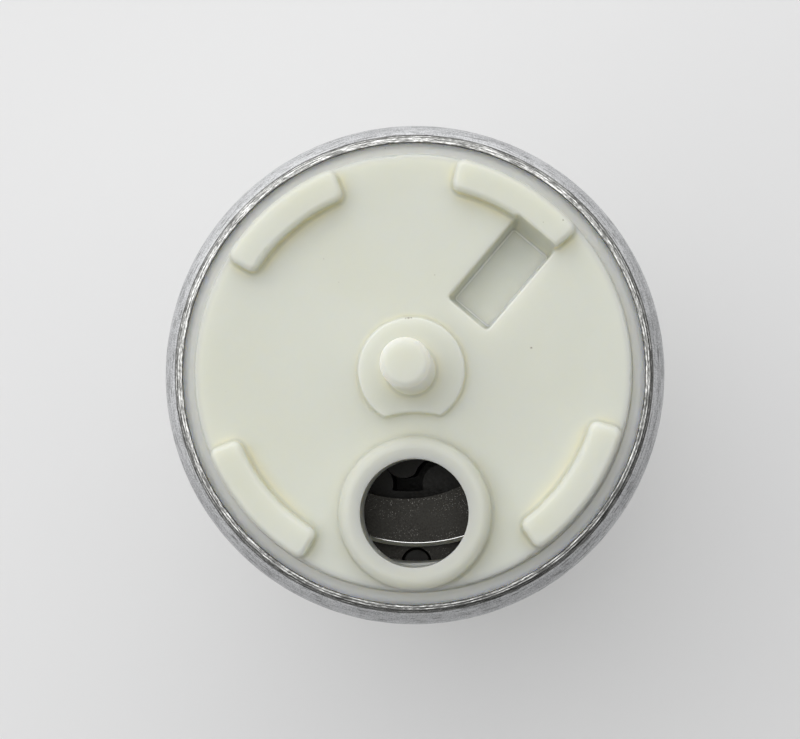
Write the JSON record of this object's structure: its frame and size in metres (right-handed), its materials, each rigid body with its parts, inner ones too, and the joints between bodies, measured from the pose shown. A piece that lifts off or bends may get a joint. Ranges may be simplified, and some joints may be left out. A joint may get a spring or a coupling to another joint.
{
  "type": "in-tank fuel pump",
  "caption": "Electric in-tank fuel pump: a gerotor pump and its motor in a rolled steel can, with a moulded inlet cover, a barbed outlet and a plug socket.",
  "frame": {"origin": "on the can's axis, halfway along the can", "axes": "+Z along the can towards the inlet cover and its post; -Y from the axis towards the inlet hole; +X to the right with the inlet cover facing the viewer and the inlet hole below the post"},
  "size_m": [0.039, 0.039, 0.1017],
  "materials": {
    "cover_acetal": "moulded acetal, soft gloss",
    "can_zinc": "zinc-plated, satin",
    "sintered_steel": "steam-treated sintered steel, ground",
    "hard_steel": "ground",
    "body_alloy": "die-cast",
    "seal_rubber": "moulded rubber",
    "coupling_plastic": "moulded",
    "bearing_bronze": "sintered bronze",
    "lamination_steel": "rolled",
    "winding_copper": "enamelled copper",
    "segment_carbon": "pressed carbon",
    "magnet_ferrite": "ground ferrite",
    "spring_steel": "drawn wire",
    "terminal_brass": "tinned",
    "valve_rubber": "moulded"
  },
  "bodies": {
    "housing": {"inlet_cover": "cover_acetal", "outlet_cover": "cover_acetal", "can": "can_zinc", "port_plate": "sintered_steel", "gerotor_ring": "sintered_steel", "dowel_pins": "hard_steel", "thrust_button": "hard_steel", "pump_body": "body_alloy", "body_seal": "seal_rubber", "outlet_seal": "seal_rubber", "relief_plug": "coupling_plastic", "check_seat": "coupling_plastic", "inlet_bearing": "bearing_bronze", "outlet_bearing": "bearing_bronze", "flux_ring": "lamination_steel", "choke_windings": "winding_copper", "brush_jumpers": "winding_copper", "brush_lead_positive": "winding_copper", "brush_lead_negative": "winding_copper", "magnet_north": "magnet_ferrite", "magnet_south": "magnet_ferrite", "choke_cores": "magnet_ferrite", "magnet_clips": "spring_steel", "brush_spring_positive": "spring_steel", "brush_spring_negative": "spring_steel", "check_spring": "spring_steel", "relief_spring": "spring_steel", "terminal_positive": "terminal_brass", "terminal_negative": "terminal_brass"},
    "armature": {"armature_shaft": "hard_steel", "armature_core": "lamination_steel", "core_insulators": "coupling_plastic", "armature_windings": "winding_copper", "thrust_washers": "coupling_plastic", "commutator_hub": "coupling_plastic", "commutator_segments": "segment_carbon", "commutator_hooks": "winding_copper", "drive_coupling": "coupling_plastic", "gerotor_inner": "sintered_steel"},
    "outer_rotor": {"gerotor_outer": "sintered_steel"},
    "positive_brush": {"brush_positive": "segment_carbon"},
    "negative_brush": {"brush_negative": "segment_carbon"},
    "non_return_valve": {"check_poppet": "valve_rubber"},
    "relief_valve": {"relief_ball": "hard_steel"}
  },
  "joints": [
    {"name": "armature_spin", "type": "hinge", "parent": "housing", "child": "armature", "pos_m": [0, 0, 0], "axis": [0, 0, -1], "continuous": true},
    {"name": "outer_rotor_spin", "type": "hinge", "parent": "housing", "child": "outer_rotor", "pos_m": [-0.0008, 0, 0.02228], "axis": [0, 0, -1], "continuous": true},
    {"name": "positive_brush_slide", "type": "slide", "parent": "housing", "child": "positive_brush", "axis": [0, 0, -1], "range_m": [0, 0.002], "stiffness_N_per_m": 200, "springref_m": -0.005, "deforming": ["brush_spring_positive", "brush_lead_positive"]},
    {"name": "negative_brush_slide", "type": "slide", "parent": "housing", "child": "negative_brush", "axis": [0, 0, -1], "range_m": [0, 0.002], "stiffness_N_per_m": 200, "springref_m": -0.005, "deforming": ["brush_spring_negative", "brush_lead_negative"]},
    {"name": "non_return_valve_lift", "type": "slide", "parent": "housing", "child": "non_return_valve", "axis": [0, 0, -1], "range_m": [0, 0.0025], "stiffness_N_per_m": 60, "springref_m": -0.002, "deforming": ["check_spring"]},
    {"name": "relief_valve_lift", "type": "slide", "parent": "housing", "child": "relief_valve", "axis": [0, 0, -1], "range_m": [0, 0.0012], "stiffness_N_per_m": 1500, "springref_m": -0.0018, "deforming": ["relief_spring"]}
  ],
  "couplings": [
    {"joint": "outer_rotor_spin", "follows": "armature_spin", "ratio": 0.9}
  ]
}
